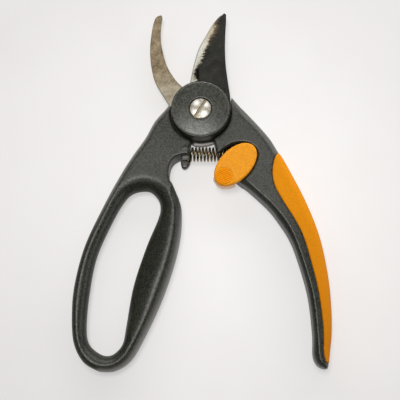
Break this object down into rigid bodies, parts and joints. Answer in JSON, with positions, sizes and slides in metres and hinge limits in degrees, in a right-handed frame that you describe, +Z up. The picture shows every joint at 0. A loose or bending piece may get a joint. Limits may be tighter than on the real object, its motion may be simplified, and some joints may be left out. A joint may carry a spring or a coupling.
{
  "type": "bypass pruner",
  "caption": "Hand bypass pruner with a closed finger loop, a slim gripped handle, a coil return spring, a slotted pivot screw and a thumb lock lever.",
  "frame": {"origin": "pivot axis at the flat rear face of the pivot nut, which lies in the plane the pruner rests on", "axes": "+Y towards the blade tips, +Z up from the resting face along the pivot axis, +X towards the lock handle's side"},
  "size_m": [0.135, 0.2004, 0.0202],
  "materials": {
    "black_nylon": "fine moulded grain",
    "orange_nylon": "satin moulded",
    "orange_soft": "soft matte overmould",
    "coated_blade": "low-friction coating, ground edge",
    "tan_steel": "weathered, stained",
    "bright_steel": "polished head",
    "zinc_steel": "zinc plated",
    "spring_steel": "drawn wire, oiled",
    "bearing_nylon": "plain"
  },
  "bodies": {
    "hook_side": {"hook_jaw": "tan_steel", "lock_handle": "black_nylon", "soft_grip": "orange_soft", "front_pivot_cap": "black_nylon", "rear_pivot_cap": "black_nylon", "pivot_screw": "bright_steel", "pivot_nut": "zinc_steel", "pivot_bush": "zinc_steel", "spring_washer": "zinc_steel", "front_thrust_washer": "bearing_nylon", "rear_thrust_washer": "bearing_nylon", "lever_pin": "zinc_steel", "return_spring": "spring_steel"},
    "blade_side": {"cutting_blade": "coated_blade", "loop_handle": "black_nylon"},
    "lock_lever": {"lock_lever": "orange_nylon", "thumb_pad": "orange_soft"}
  },
  "joints": [
    {"name": "closing", "type": "hinge", "parent": "hook_side", "child": "blade_side", "pos_m": [0, 0, 0.01], "axis": [0, 0, 1], "range_deg": [0, 33], "stiffness_Nm_per_rad": 0.4, "springref_deg": -28.65, "deforming": ["return_spring"]},
    {"name": "locking", "type": "hinge", "parent": "hook_side", "child": "lock_lever", "pos_m": [0.023, -0.026, 0.01], "axis": [0, 0, -1], "range_deg": [0, 16]}
  ]
}
